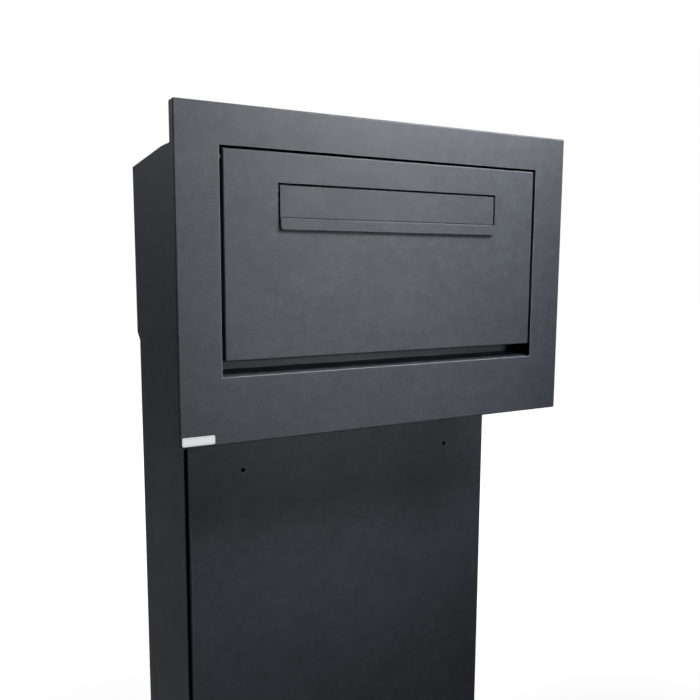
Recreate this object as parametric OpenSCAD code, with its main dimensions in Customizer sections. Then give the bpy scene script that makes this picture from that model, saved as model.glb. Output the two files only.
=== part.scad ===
// Through-wall parcel drop box: a front plate with a parcel flap and a letter
// slot stands before the wall, a throat leads through the wall, and a tall
// body with a locked rear door stands behind it.
// +X is right seen from the street, +Y points to the rear, +Z is up.
// The origin is the centre of the body's underside.

/* [Front plate] */
// Width of the front plate
plate_w = 600; // [560:1:760]
// Height of the front plate
plate_h = 410; // [390:1:560]
// Depth of the folded returns around the plate
plate_return = 15; // [10:0.5:30]
// Sheet thickness of the plate
plate_t = 2; // [1:0.5:3]
// Bend radius of the plate's folded edges
plate_edge_r = 2.5; // [2.5:0.1:5]
// Corner radius of the plate seen from the front
plate_corner_r = 3; // [0.5:0.5:12]
// Height of the plate's lower edge over the floor
plate_bottom_z = 690; // [560:1:1000]

/* [Parcel opening] */
// Width of the opening in the plate
opening_w = 490; // [400:1:500]
// Height of the opening's lower edge over the plate's lower edge
opening_bottom = 84; // [60:1:110]
// Height of the opening
opening_h = 277.5; // [260:0.5:300]

/* [Parcel flap] */
// Gap beside the parcel flap
flap_side_gap = 4; // [3.5:0.1:6]
// Gap over the parcel flap
flap_top_gap = 3; // [2.9:0.1:6]
// Finger gap under the parcel flap
finger_gap = 19.5; // [10:0.5:30]
// Depth of the parcel flap
flap_depth = 16; // [14:0.5:18]
// Sheet thickness of the flap's outer skin
flap_t = 1.5; // [1:0.1:2]
// Bend radius of the flap's folded edges
flap_edge_r = 2; // [1.6:0.1:4]
// Distance of the hinge axis behind the flap's face
flap_axis_back = 8; // [7:0.1:8.5]
// Distance of the hinge axis below the flap's top edge
flap_axis_down = 10; // [9:0.1:14]
// Radius of the flap's hinge rod
flap_rod_r = 3; // [2:0.1:3.5]

/* [Letter flap] */
// Width of the letter slot
slot_w = 340; // [230:1:370]
// Height of the letter slot
slot_h = 47; // [40:1:60]
// Distance of the slot's top below the parcel flap's top edge
slot_drop = 37; // [25:1:60]
// Gap around the letter flap
letter_gap = 3; // [2.5:0.1:4]
// Sheet thickness of the letter flap
letter_t = 1.5; // [1:0.1:2]
// Distance of the letter hinge axis behind the flap's face
letter_axis_back = 5.5; // [5:0.1:6]
// Distance of the letter hinge axis below the letter flap's top edge
letter_axis_down = 6; // [5:0.1:8]
// Radius of the letter hinge rod
letter_rod_r = 1.5; // [1:0.1:2]
// Height of the grip strip under the letter flap
grip_h = 14.5; // [10:0.5:20]
// Distance that the grip strip stands out from the flap's face
grip_out = 4; // [3.6:0.1:8]
// How far the grip strip's front reaches past the letter flap at each end
grip_over = 1.2; // [0:0.1:2.5]
// Corner radius of the grip strip
grip_corner_r = 6; // [2:0.5:9]

/* [Body] */
// Width of the body and the head
body_w = 516; // [511:1:700]
// Depth of the body
body_d = 242; // [200:1:400]
// Space for the wall between the plate and the body
wall_space = 104; // [80:1:300]
// Sheet thickness of the body
sheet = 1.5; // [1:0.1:2]
// Distance of the front panel's edges from the body's side faces
groove_w = 5; // [4:0.5:12]
// Distance that the front panel stands out before the side panels' edges
panel_proud = 12.5; // [5:0.5:18]
// Depth of the front panel's returns
panel_return = 28; // [22:0.5:40]
// Radius of the wall screw holes in the front panel
wall_hole_r = 3.25; // [2:0.05:5]
// Distance between the wall screw holes
wall_hole_spacing = 350; // [200:1:420]
// Height of the wall screw holes below the plate's lower edge
wall_hole_drop = 70; // [30:1:150]
// Radius of the floor anchor holes
floor_hole_r = 4.5; // [3:0.5:7]
// Distance of the floor anchor holes from the body's sides
floor_hole_side = 58; // [45:1:120]
// Distance of the floor anchor holes from the body's front and back
floor_hole_end = 41; // [30:1:60]

/* [Head and throat] */
// Height of the plate's top over the roof
roof_drop = 25.5; // [22:1:45]
// Length of the level part of the roof behind the plate's face
roof_flat = 205; // [150:1:240]
// Fall of the roof's rear part
roof_fall = 11; // [4:1:20]
// How far the head stands out behind the body
head_overhang = 16; // [14:1:30]
// Height of the head's lower rear edge over the plate's lower edge
head_skirt = 110; // [105:1:130]
// Height of the slant under the head's rear edge
skirt_h = 12; // [8:1:20]
// Depth of the finger recess behind the plate's face
sill_depth = 47; // [40:1:60]
// Rise of the recess's floor towards its rear
sill_rise = 4; // [0:0.5:8]
// Height of the sill over the finger recess
sill_h = 31; // [20:1:40]

/* [Retention flap] */
// Distance of the retention flap behind the plate's face
retention_back = 75; // [70:1:100]
// Distance of the retention hinge below the roof
retention_down = 15; // [12:1:25]
// Clearance under the retention flap, for letters
retention_clear = 30; // [20:1:60]
// Radius of the retention flap's rod
retention_rod_r = 3; // [2:0.1:4]

/* [Rear door] */
// Width of the flange beside the rear door
rear_flange_w = 20; // [16:1:30]
// Gap around the rear door
door_gap = 3; // [2.5:0.1:5]
// Depth of the door's folded edges
door_return = 18; // [14:0.5:20]
// Height of the base tray's rear flange under the door
door_sill_h = 9; // [6:0.5:20]
// Height of each door hinge
hinge_h = 80; // [60:1:120]
// Radius of the door hinge knuckles
knuckle_r = 5; // [4.5:0.1:7]
// Radius of the door hinge pins
hinge_pin_r = 3; // [2:0.1:3.5]
// Width of each hinge leaf
hinge_leaf_w = 17; // [14:1:19]

/* [Lock] */
// Radius of the lock's threaded barrel
lock_r = 9.5; // [8:0.5:11]
// Height of the lock over the floor
lock_z = 400; // [300:1:500]
// Distance of the lock's axis from the rear frame's inner edge
lock_in = 20; // [18:1:40]
// Length of the cam past the lock's axis
cam_reach = 40; // [34:1:48]

/* [Fits] */
// Radial clearance between a rod and its bush
running_fit = 0.06; // [0.02:0.01:0.1]
// Clearance between pieces that move past each other
moving_gap = 0.4; // [0.3:0.1:0.6]
// Clearance between fixed pieces beside each other
fixed_gap = 0.1; // [0.05:0.05:0.3]

/* [Label] */
// Width of the blank label
label_w = 41; // [20:1:60]
// Height of the blank label
label_h = 11; // [8:0.2:20]
// Distance of the label from the plate's left and lower edges
label_in = 3; // [2:0.5:20]

/* [Hidden] */
$fn = 48;

paint = [0.20, 0.22, 0.24];
zinc = [0.72, 0.73, 0.74];
steel = [0.60, 0.61, 0.63];
black = [0.08, 0.08, 0.09];
nylon = [0.13, 0.13, 0.13];

// Main planes
body_front = -body_d / 2;
body_back = body_d / 2;
side_front = body_front + panel_proud;
face_y = body_front - wall_space - plate_return;
head_back = body_back + head_overhang;
plate_mid_z = plate_bottom_z + plate_h / 2;
plate_top_z = plate_bottom_z + plate_h;
roof_z = plate_top_z - roof_drop;
roof_end_z = roof_z - roof_fall;
opening_low_z = plate_bottom_z + opening_bottom;
opening_top_z = opening_low_z + opening_h;
throat_low_z = opening_low_z - 6;
head_low_z = plate_bottom_z + head_skirt;
body_top_z = head_low_z - skirt_h;
inner_x = body_w / 2 - sheet;

// Parcel flap
flap_x = opening_w / 2 - flap_side_gap;
flap_top_z = opening_top_z - flap_top_gap;
flap_low_z = opening_low_z + finger_gap;
flap_axis_y = face_y + flap_axis_back;
flap_axis_z = flap_top_z - flap_axis_down;
flap_liner_t = 1.5;
deflector_t = 1.2;
bracket_t = 2;
bush_flange_t = 1;
bush_wall = 2;
bush_end_x = opening_w / 2 + bracket_t + 2;
clip_t = 1;
clip_wall = 2.5;
stop_y = face_y + flap_depth + 4;
rail_reach = 23;
buffer_r = 4;

// Letter flap
slot_top_z = flap_top_z - slot_drop;
slot_low_z = slot_top_z - slot_h;
letter_x = slot_w / 2 - letter_gap;
letter_top_z = slot_top_z - letter_gap;
letter_axis_y = face_y + letter_axis_back;
letter_axis_z = letter_top_z - letter_axis_down;
grip_top_z = slot_low_z + 4;
grip_t = 1.5;
grip_groove = 1.5;
letter_low_z = grip_top_z + grip_groove;
collar_t = 1.2;
letter_tab_d = 10;
cap_t = 1.5;
cap_wall = 1.5;

// Retention flap
retention_y = face_y + retention_back;
retention_z = roof_z - sheet - retention_down;
retention_x = opening_w / 2 - 9;
retention_t = 1.5;
retention_knuckle_r = retention_rod_r + 2;
retention_bracket_x = opening_w / 2 - 1;
trim_r = 2.5;
sill_top_z = opening_low_z + sill_h;
retention_low_z = sill_top_z + retention_clear;

// Rear door
rear_x = body_w / 2 - rear_flange_w;
door_x = rear_x - door_gap;
door_low_z = door_sill_h + door_gap;
door_top_z = body_top_z - door_gap;
hinge_x = -(rear_x - door_x) / 2 - door_x;
leaf_t = 2;
leaf_start = door_gap / 4;
hinge_y = body_back + knuckle_r + moving_gap;
hinge_heights = [door_low_z + 140, door_top_z - 140];
frame_front_y = body_back - door_return - 5.5;
frame_bar = 17;
frame_x = door_x - frame_bar + 3;
seal_w = 5;
screw_r = 1.9;
screw_head_r = 3.4;
screw_head_h = 1.6;
screw_x = hinge_leaf_w - 6;
screw_hole_r = screw_r + fixed_gap;

// Lock
lock_x = frame_x - lock_in;
plug_r = lock_r - 2.5;
barrel_front_y = frame_front_y - 0.5;
cam_t = 2.5;
cam_w = 16;
cam_back_y = frame_front_y - 1;
cam_front_y = cam_back_y - cam_t;
keyway_w = 2.2;
keyway_h = 8;

// Studs between the plate and the head's front flanges
flange_w = 23;
stud_r = 2.5;
nut_t = 4;
nut_r = 4.6;
stud_x = body_w / 2 + flange_w / 2;
stud_heights = [opening_low_z + 30, (opening_low_z + opening_top_z) / 2, opening_top_z - 20];
roof_flange_h = 19;
roof_stud_z = roof_z + roof_flange_h / 2;
roof_studs = [-160, 0, 160];
flange_y = face_y + plate_t;

// ---- helpers ----

// Box between two corners
module block(lo, hi) {
    translate(lo) cube(hi - lo);
}

// The child and its mirror image on the other side of the middle plane
module both_sides() {
    children();
    mirror([1, 0, 0]) children();
}

// Profile drawn in Y and Z, drawn out along X about the middle
module along_x(length) {
    rotate([90, 0, 90]) linear_extrude(length, center = true) children();
}

// Round bar along X from x0 to x1
module bar_x(x0, x1, y, z, r) {
    translate([x0, y, z]) rotate([0, 90, 0]) cylinder(h = x1 - x0, r = r);
}

// Round bar along Y from y0 to y1
module bar_y(x, y0, y1, z, r) {
    translate([x, y0, z]) rotate([-90, 0, 0]) cylinder(h = y1 - y0, r = r);
}

// Rectangle whose two corners at y = 0 are rounded
module front_rounded(w, d, r) {
    translate([-w / 2, r]) square([w, d - r]);
    translate([r - w / 2, 0]) square([w - 2 * r, d]);
    for (side = [-1, 1]) translate([side * (w / 2 - r), r]) circle(r);
}

// Rectangle with four round corners, centred
module round_rect(w, h, r) {
    square([w - 2 * r, h], center = true);
    square([w, h - 2 * r], center = true);
    for (x = [r - w / 2, w / 2 - r]) for (z = [r - h / 2, h / 2 - r]) translate([x, z]) circle(r);
}

// Pressed sheet block: its front edges have a bend radius and its face has round corners
module pressed_block(w, h, d, edge_r, corner_r) {
    intersection() {
        translate([0, 0, -h / 2 - 1]) linear_extrude(h + 2) front_rounded(w, d, edge_r);
        rotate([0, 90, 0]) translate([0, 0, -w / 2 - 1])
            linear_extrude(w + 2) front_rounded(h, d + 1, edge_r);
        rotate([-90, 0, 0]) translate([0, 0, -1]) linear_extrude(d + 2) round_rect(w, h, corner_r);
    }
}

// Shallow tray with its face at y = 0 and its folded edges towards +Y
module tray(w, h, d, t, edge_r, corner_r) {
    difference() {
        pressed_block(w, h, d, edge_r, corner_r);
        translate([0, t, 0]) pressed_block(w - 2 * t, h - 2 * t, d, edge_r - t + 0.1, edge_r - t + 0.1);
    }
}

// Flat ring in X and Z between y0 and y1
module flat_ring(x_out, low_out, top_out, x_in, low_in, top_in, y0, y1) {
    difference() {
        block([-x_out, y0, low_out], [x_out, y1, top_out]);
        block([-x_in, y0 - 1, low_in], [x_in, y1 + 1, top_in]);
    }
}

// ---- front plate ----

module front_plate() {
    color(paint) difference() {
        translate([0, face_y, plate_mid_z])
            tray(plate_w, plate_h, plate_return, plate_t, plate_edge_r, plate_corner_r);
        block([-opening_w / 2, face_y - 1, opening_low_z],
              [opening_w / 2, face_y + plate_t + 1, opening_top_z]);
    }
}

// Places of the studs, on the plate's back
module at_studs() {
    for (side = [-1, 1]) for (z = stud_heights) translate([side * stud_x, flange_y, z]) children();
    for (x = roof_studs) translate([x, flange_y, roof_stud_z]) children();
}

module frame_studs() {
    color(zinc) at_studs() rotate([-90, 0, 0]) cylinder(h = 10, r = stud_r);
}

module frame_nuts() {
    color(zinc) at_studs() rotate([-90, 0, 0]) translate([0, 0, sheet]) difference() {
        cylinder(h = nut_t, r = nut_r, $fn = 6);
        translate([0, 0, -1]) cylinder(h = nut_t + 2, r = stud_r + fixed_gap / 2);
    }
}

module blank_label() {
    color("white") translate([label_in + (label_w - plate_w) / 2, face_y, plate_bottom_z + label_in + label_h / 2])
        rotate([90, 0, 0]) linear_extrude(0.3) round_rect(label_w, label_h, 2);
}

// ---- head and body ----

// Side outline of the body, the throat and the head
module side_outline() {
    polygon([
        [face_y + plate_t, throat_low_z], [face_y + plate_t, roof_z],
        [face_y + roof_flat, roof_z], [head_back, roof_end_z],
        [head_back, head_low_z], [body_back, body_top_z],
        [body_back, 0], [side_front, 0], [side_front, throat_low_z],
    ]);
}

module side_panel() {
    difference() {
        union() {
            translate([inner_x + sheet / 2, 0, 0]) along_x(sheet) side_outline();
            block([inner_x, flange_y, opening_low_z + 6], [body_w / 2 + flange_w, flange_y + sheet, roof_z - 6]);
            block([rear_x, body_back - sheet, 0], [inner_x + sheet / 2, body_back, body_top_z]);
        }
        for (z = stud_heights) bar_y(stud_x, flange_y - 1, flange_y + sheet + 1, z, stud_r + fixed_gap);
    }
}

module side_panel_right() {
    color(paint) side_panel();
}

module side_panel_left() {
    color(paint) difference() {
        mirror([1, 0, 0]) side_panel();
        at_frame_screws() bar_y(0, body_back - 5, body_back + 1, 0, screw_hole_r);
    }
}

// Sheet under the roof line, with a front flange behind the plate and folded side edges
module roof_panel() {
    roof_x = inner_x - fixed_gap;
    color(paint) difference() {
        union() {
            along_x(2 * roof_x) polygon([
                [flange_y, roof_z - sheet], [flange_y, roof_z], [face_y + roof_flat, roof_z],
                [head_back - sheet - fixed_gap, roof_end_z],
                [head_back - sheet - fixed_gap, roof_end_z - sheet],
                [face_y + roof_flat, roof_z - sheet],
            ]);
            block([-roof_x, flange_y, roof_z - sheet], [roof_x, flange_y + sheet, roof_z + roof_flange_h]);
        }
        for (x = roof_studs) bar_y(x, flange_y - 1, flange_y + sheet + 1, roof_stud_z, stud_r + fixed_gap);
    }
}

// Rear wall of the head, its slanted lower edge and the rain edge over the door
module head_back_panel() {
    low = body_top_z;
    in_y = body_back - sheet;
    color(paint) along_x(2 * (inner_x - fixed_gap)) polygon([
        [head_back, head_low_z], [head_back, roof_end_z], [head_back - sheet, roof_end_z],
        [head_back - sheet, head_low_z + sheet / 2], [in_y + sheet / 2, low + sheet],
        [frame_front_y + sheet, low + sheet], [frame_front_y + sheet, low], [body_back, low],
    ]);
}

// Floor of the finger recess, fixed behind the plate, with the riser at its rear
module finger_sill() {
    riser_y = face_y + sill_depth;
    rear_z = opening_low_z + sill_rise;
    color(paint) along_x(2 * (inner_x - fixed_gap)) polygon([
        [flange_y, opening_low_z - 26], [flange_y + sheet, opening_low_z - 26],
        [flange_y + sheet, opening_low_z - sheet], [riser_y + sheet, rear_z - sheet],
        [riser_y + sheet, sill_top_z], [riser_y, sill_top_z], [riser_y, rear_z], [flange_y, opening_low_z],
    ]);
}

// Slide from the sill down into the body, with a flange behind the body's front panel
module chute_plate() {
    top_y = face_y + sill_depth + sheet + fixed_gap;
    end_y = body_front + sheet + fixed_gap;
    flange_x = body_w / 2 - groove_w - sheet - fixed_gap;
    color(paint) {
        along_x(2 * (inner_x - fixed_gap)) polygon([
            [top_y, sill_top_z], [end_y + sheet, throat_low_z + 4], [end_y, throat_low_z + 3],
            [top_y + 2 * sheet, sill_top_z - 2 * sheet], [top_y + sheet, sill_top_z - 2 * sheet],
            [top_y + sheet, opening_low_z + 1], [top_y, opening_low_z + 1],
        ]);
        block([-flange_x, end_y, throat_low_z - 24], [flange_x, end_y + sheet, throat_low_z + 4]);
    }
}

// Front panel behind the wall: a tray that stands out between the side panels
module body_front_panel() {
    panel_x = body_w / 2 - groove_w;
    wing_x = inner_x - fixed_gap;
    top_z = throat_low_z - fixed_gap;
    hole_z = plate_bottom_z - wall_hole_drop;
    color(paint) difference() {
        union() {
            block([-panel_x, body_front, 0], [panel_x, body_front + sheet, top_z]);
            both_sides() {
                block([panel_x - sheet, body_front, 0], [panel_x, body_front + panel_return, top_z]);
                block([panel_x - sheet, body_front + panel_return - sheet, 0],
                      [wing_x, body_front + panel_return, top_z]);
                block([wing_x - sheet, body_front + panel_return - sheet, 30],
                      [wing_x, body_front + panel_return + 12, top_z - 30]);
            }
        }
        both_sides() bar_y(wall_hole_spacing / 2, body_front - 1, body_front + sheet + 1, hole_z, wall_hole_r);
    }
}

module base_tray() {
    x = inner_x - fixed_gap;
    front = body_front + panel_return + fixed_gap;
    front_x = body_w / 2 - groove_w - sheet - fixed_gap;
    lip = 2;
    color(paint) difference() {
        union() {
            block([-front_x, body_front + sheet + fixed_gap, 0], [front_x, front + 1, lip]);
            block([-x, front, 0], [x, body_back - sheet - fixed_gap, lip]);
            block([fixed_gap - rear_x, 0, 0], [rear_x - fixed_gap, body_back, lip]);
            block([-front_x, body_front + sheet + fixed_gap, 0],
                  [front_x, body_front + sheet + fixed_gap + lip, 25]);
            both_sides() block([x - lip, front, 0], [x, body_back - sheet - fixed_gap, 25]);
            block([fixed_gap - rear_x, body_back - lip, 0], [rear_x - fixed_gap, body_back, door_sill_h]);
        }
        for (x = [-1, 1]) for (y = [-1, 1])
            translate([x * (body_w / 2 - floor_hole_side), y * (body_d / 2 - floor_hole_end), -1])
                cylinder(h = 10, r = floor_hole_r);
    }
}

// Ring behind the door: the seal sits on it and the lock's cam turns behind it
module rear_frame() {
    out_x = inner_x - 2 - 2 * fixed_gap;
    color(paint) {
        flat_ring(out_x, 4, body_top_z - fixed_gap, frame_x, door_low_z + frame_bar,
                  door_top_z - frame_bar, frame_front_y, frame_front_y + sheet);
        both_sides() block([out_x - sheet, frame_front_y, 30],
                           [out_x, body_back - sheet - fixed_gap, body_top_z - 30]);
    }
}

// ---- fittings behind the plate ----

// Rail beside the opening: it closes the view past the flap and carries the flap's buffers
module stop_rail() {
    x = opening_w / 2;
    low = flap_low_z + 1;
    top = flap_axis_z - 16;
    difference() {
        union() {
            block([x, flange_y, low], [inner_x - 1, flange_y + sheet, top]);
            block([x, flange_y, low], [x + sheet, stop_y + sheet, top]);
            block([x + sheet - rail_reach, stop_y, low], [x + sheet, stop_y + sheet, top]);
        }
        for (z = buffer_heights()) bar_y(buffer_x(), stop_y - 1, stop_y + sheet + 1, z, buffer_r / 2 + fixed_gap);
    }
}

function buffer_x() = opening_w / 2 - flap_side_gap - 8;
function buffer_heights() = [flap_low_z + 25, flap_axis_z - 60];

module stop_rail_left() {
    color(paint) mirror([1, 0, 0]) stop_rail();
}

module stop_rail_right() {
    color(paint) stop_rail();
}

module flap_buffers() {
    color(black) both_sides() for (z = buffer_heights()) {
        bar_y(buffer_x(), face_y + flap_depth + moving_gap, stop_y, z, buffer_r);
        bar_y(buffer_x(), stop_y, stop_y + sheet, z, buffer_r / 2);
        bar_y(buffer_x(), stop_y + sheet, stop_y + sheet + 2, z, buffer_r - 1);
    }
}

module pivot_bracket() {
    x = opening_w / 2;
    low = flap_axis_z - 14;
    top = opening_top_z + 8;
    clip_top = flap_axis_z + flap_rod_r + clip_wall + 1;
    difference() {
        union() {
            block([x, flange_y, low], [x + bracket_t, flap_axis_y + 14, top]);
            block([x, flange_y, clip_top], [inner_x - 2, flange_y + bracket_t, top]);
        }
        bar_x(x - 1, x + bracket_t + 1, flap_axis_y, flap_axis_z, flap_rod_r + bush_wall);
    }
}

module pivot_bracket_left() {
    color(paint) mirror([1, 0, 0]) pivot_bracket();
}

module pivot_bracket_right() {
    color(paint) pivot_bracket();
}

module flap_bushes() {
    x = opening_w / 2;
    color(nylon) both_sides() difference() {
        union() {
            bar_x(x - bush_flange_t, x, flap_axis_y, flap_axis_z, flap_rod_r + bush_wall + 1.5);
            bar_x(x, bush_end_x, flap_axis_y, flap_axis_z, flap_rod_r + bush_wall);
        }
        bar_x(x - bush_flange_t - 1, bush_end_x + 1, flap_axis_y, flap_axis_z, flap_rod_r + running_fit);
    }
}

// ---- parcel flap ----

// Slot for letters, through everything between two depths
module letter_slot(y0, y1, grow) {
    block([-slot_w / 2 - grow, y0, slot_low_z - grow], [slot_w / 2 + grow, y1, slot_top_z + grow]);
}

module parcel_flap_skin() {
    h = flap_top_z - flap_low_z;
    color(paint) difference() {
        translate([0, face_y, flap_low_z + h / 2]) tray(2 * flap_x, h, flap_depth, flap_t, flap_edge_r, 1);
        letter_slot(face_y - 1, face_y + flap_t + 1, 0);
        bar_x(-flap_x - 1, flap_x + 1, flap_axis_y, flap_axis_z, flap_rod_r + fixed_gap);
    }
}

module parcel_flap_liner() {
    edge = flap_t + 0.3;
    back = face_y + flap_depth;
    color(zinc) difference() {
        block([edge - flap_x, back - flap_liner_t, flap_low_z + edge], [flap_x - edge, back, flap_top_z - edge]);
        letter_slot(back - flap_liner_t - 1, back + 1, 0);
        at_liner_rivets() bar_y(0, back - flap_liner_t - 1, back + 1, 0, 1.6 + fixed_gap);
    }
}

// Frame that lines the letter slot between the skin and the liner
module letter_slot_collar() {
    front = face_y + flap_t + fixed_gap;
    back = face_y + flap_depth - flap_liner_t - fixed_gap;
    color(zinc) difference() {
        union() {
            letter_slot(front, back, collar_t);
            letter_slot(back - 1, back, collar_t + 8);
        }
        letter_slot(front - 1, back + 1, 0);
        bar_x(-slot_w, slot_w, letter_axis_y, letter_axis_z, letter_rod_r + fixed_gap / 2);
    }
}

// Bent sheet behind the slot: it leads letters back over the sill, past the finger recess
module letter_deflector() {
    top = slot_low_z - collar_t - 9;
    front = face_y + flap_depth;
    back = face_y + sill_depth + 11;
    knee = sill_top_z + 60;
    low = sill_top_z + 8;
    slope = (top - knee) / (back - front);
    step = deflector_t * slope;
    thick = deflector_t * sqrt(1 + slope * slope);
    color(paint) along_x(slot_w + 24) polygon([
        [front, top], [back, knee], [back, low], [back - deflector_t, low],
        [back - deflector_t, knee + step - thick], [front + deflector_t, top - step - thick],
        [front + deflector_t, top - 22], [front, top - 22],
    ]);
}

module flap_hinge_rod() {
    end = bush_end_x + 4;
    color(steel) bar_x(-end, end, flap_axis_y, flap_axis_z, flap_rod_r);
}

module flap_rod_clips() {
    x = bush_end_x + moving_gap;
    color(steel) both_sides() difference() {
        bar_x(x, x + clip_t, flap_axis_y, flap_axis_z, flap_rod_r + clip_wall);
        bar_x(x - 1, x + clip_t + 1, flap_axis_y, flap_axis_z, flap_rod_r);
        translate([x - 1, flap_axis_y, flap_axis_z - flap_rod_r - clip_wall - 1])
            translate([0, -flap_rod_r * 0.6, 0]) cube([clip_t + 2, flap_rod_r * 1.2, clip_wall + 1 + flap_rod_r]);
    }
}

// Places of the rivets that hold the liner to the slot's collar
module at_liner_rivets() {
    for (x = [-150, 0, 150]) for (z = [slot_low_z - collar_t - 4, slot_top_z + collar_t + 4])
        translate([x, 0, z]) children();
}

module liner_rivets() {
    back = face_y + flap_depth;
    color(zinc) at_liner_rivets() {
        bar_y(0, back - flap_liner_t, back, 0, 1.6);
        bar_y(0, back, back + 1, 0, 3);
    }
}

// ---- letter flap ----

module letter_hinge_rod() {
    end = slot_w / 2 + collar_t + 4;
    color(steel) bar_x(-end, end, letter_axis_y, letter_axis_z, letter_rod_r);
}

module letter_rod_caps() {
    x = slot_w / 2 + collar_t + fixed_gap;
    color(steel) both_sides() difference() {
        bar_x(x, x + cap_t, letter_axis_y, letter_axis_z, letter_rod_r + cap_wall);
        bar_x(x - 1, x + cap_t + 1, letter_axis_y, letter_axis_z, letter_rod_r);
    }
}

// Torsion springs on the letter hinge rod: a coil and its two legs
module letter_springs() {
    x = letter_x - 24;
    coil_r = letter_rod_r + 1.6;
    wire_r = 0.4;
    turns = 9;
    color(steel) both_sides() {
        difference() {
            bar_x(x, x + turns * 2 * wire_r, letter_axis_y, letter_axis_z, coil_r);
            bar_x(x - 1, x + turns * 2 * wire_r + 1, letter_axis_y, letter_axis_z, coil_r - 2 * wire_r);
        }
        translate([x + wire_r, letter_axis_y - coil_r + wire_r, letter_axis_z - 12])
            cylinder(h = 12, r = wire_r);
        translate([x + (2 * turns - 1) * wire_r, letter_axis_y, letter_axis_z + coil_r - wire_r])
            rotate([-90, 0, 0]) cylinder(h = 8, r = wire_r);
    }
}

module letter_flap_plate() {
    tab_low = letter_axis_z - 9;
    tab_y = face_y + letter_tab_d;
    color(paint) difference() {
        union() {
            block([-letter_x, face_y, letter_low_z], [letter_x, face_y + letter_t, letter_top_z]);
            both_sides() intersection() {
                block([letter_x - letter_t, face_y, tab_low], [letter_x, tab_y, letter_top_z]);
                union() {
                    block([0, face_y - 1, 0], [letter_x + 1, letter_axis_y, letter_top_z + 1]);
                    bar_x(0, letter_x + 1, letter_axis_y, letter_axis_z, letter_axis_down);
                }
            }
        }
        bar_x(-slot_w, slot_w, letter_axis_y, letter_axis_z, letter_rod_r + running_fit);
    }
}

// Folded strip under the letter flap: the front leg is gripped, the rear leg is fixed to the flap
module letter_grip_strip() {
    front = face_y - grip_out;
    rear = face_y + letter_t + fixed_gap;
    front_x = letter_x + grip_over;
    low = grip_top_z - grip_h;
    color(paint) {
        intersection() {
            translate([0, front, low + grip_h / 2])
                pressed_block(2 * front_x, grip_h, grip_t, 0.9, 0.9);
            union() {
                block([-front_x, front - 1, low + grip_corner_r], [front_x, front + grip_t + 1, grip_top_z + 1]);
                block([grip_corner_r - front_x, front - 1, low - 1],
                      [front_x - grip_corner_r, front + grip_t + 1, grip_top_z]);
                both_sides() bar_y(front_x - grip_corner_r, front - 1, front + grip_t + 1,
                                   low + grip_corner_r, grip_corner_r);
            }
        }
        block([-letter_x, front + 0.9, grip_top_z - grip_t], [letter_x, rear + grip_t, grip_top_z]);
        block([-letter_x, rear, grip_top_z - grip_t], [letter_x, rear + grip_t, letter_low_z + 12]);
    }
}

module grip_buffers() {
    color(black) both_sides()
        bar_y(letter_x - 30, face_y - grip_out + grip_t, face_y - fixed_gap * 2, grip_top_z - grip_h / 2 - 2, 3);
}

// ---- retention flap ----

module retention_bracket() {
    x = retention_bracket_x;
    top = roof_z - sheet;
    difference() {
        union() {
            block([x, retention_y - 12, retention_z - 10], [x + bracket_t, retention_y + 12, top]);
            block([x, retention_y - 12, top - bracket_t], [inner_x - 3, retention_y + 12, top]);
        }
        bar_x(x - 1, x + bracket_t + 1, retention_y, retention_z, retention_rod_r + fixed_gap / 2);
    }
}

module retention_bracket_left() {
    color(zinc) mirror([1, 0, 0]) retention_bracket();
}

module retention_bracket_right() {
    color(zinc) retention_bracket();
}

module retention_rod() {
    end = retention_bracket_x + bracket_t + 5;
    color(steel) bar_x(-end, end, retention_y, retention_z, retention_rod_r);
}

module retention_rod_clips() {
    x = retention_bracket_x + bracket_t + fixed_gap;
    color(steel) both_sides() difference() {
        bar_x(x, x + clip_t, retention_y, retention_z, retention_rod_r + clip_wall);
        bar_x(x - 1, x + clip_t + 1, retention_y, retention_z, retention_rod_r);
        translate([x - 1, retention_y - retention_rod_r * 0.6, retention_z - retention_rod_r - clip_wall - 1])
            cube([clip_t + 2, retention_rod_r * 1.2, clip_wall + 1 + retention_rod_r]);
    }
}

// Angles on the side panels that keep the retention flap from swinging out
module retention_stops() {
    y = retention_y - retention_t / 2 - moving_gap - sheet;
    z0 = retention_low_z + 60;
    color(zinc) both_sides() {
        block([retention_x - 10, y, z0], [inner_x - fixed_gap, y + sheet, z0 + 40]);
        block([inner_x - fixed_gap - sheet, y, z0], [inner_x - fixed_gap, y + 22, z0 + 40]);
    }
}

module retention_flap_plate() {
    knuckles = [-retention_x, -retention_x / 3, retention_x / 3];
    knuckle_w = 2 * retention_x / 3;
    gap = 50;
    color(paint) difference() {
        union() {
            block([-retention_x, retention_y - retention_t / 2, retention_low_z + trim_r],
                  [retention_x, retention_y + retention_t / 2, retention_z]);
            bar_x(-retention_x, retention_x, retention_y, retention_z, retention_knuckle_r);
        }
        bar_x(-retention_x - 1, retention_x + 1, retention_y, retention_z, retention_rod_r + running_fit);
        for (x = [knuckles[1], knuckles[2]])
            block([x - gap / 2, retention_y - 10, retention_z - retention_knuckle_r - 4],
                  [x + gap / 2, retention_y + 10, retention_z + 10]);
    }
}

// Rubber edge on the retention flap's lower edge
module retention_edge_trim() {
    wrap = 8;
    slit = retention_t / 2 + fixed_gap / 2;
    color(black) difference() {
        union() {
            block([-retention_x, retention_y - trim_r, retention_low_z + trim_r],
                  [retention_x, retention_y + trim_r, retention_low_z + trim_r + wrap]);
            bar_x(-retention_x, retention_x, retention_y, retention_low_z + trim_r, trim_r);
        }
        block([-retention_x - 1, retention_y - slit, retention_low_z + trim_r - fixed_gap],
              [retention_x + 1, retention_y + slit, retention_low_z + trim_r + wrap + 1]);
    }
}

// ---- rear door ----

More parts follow.
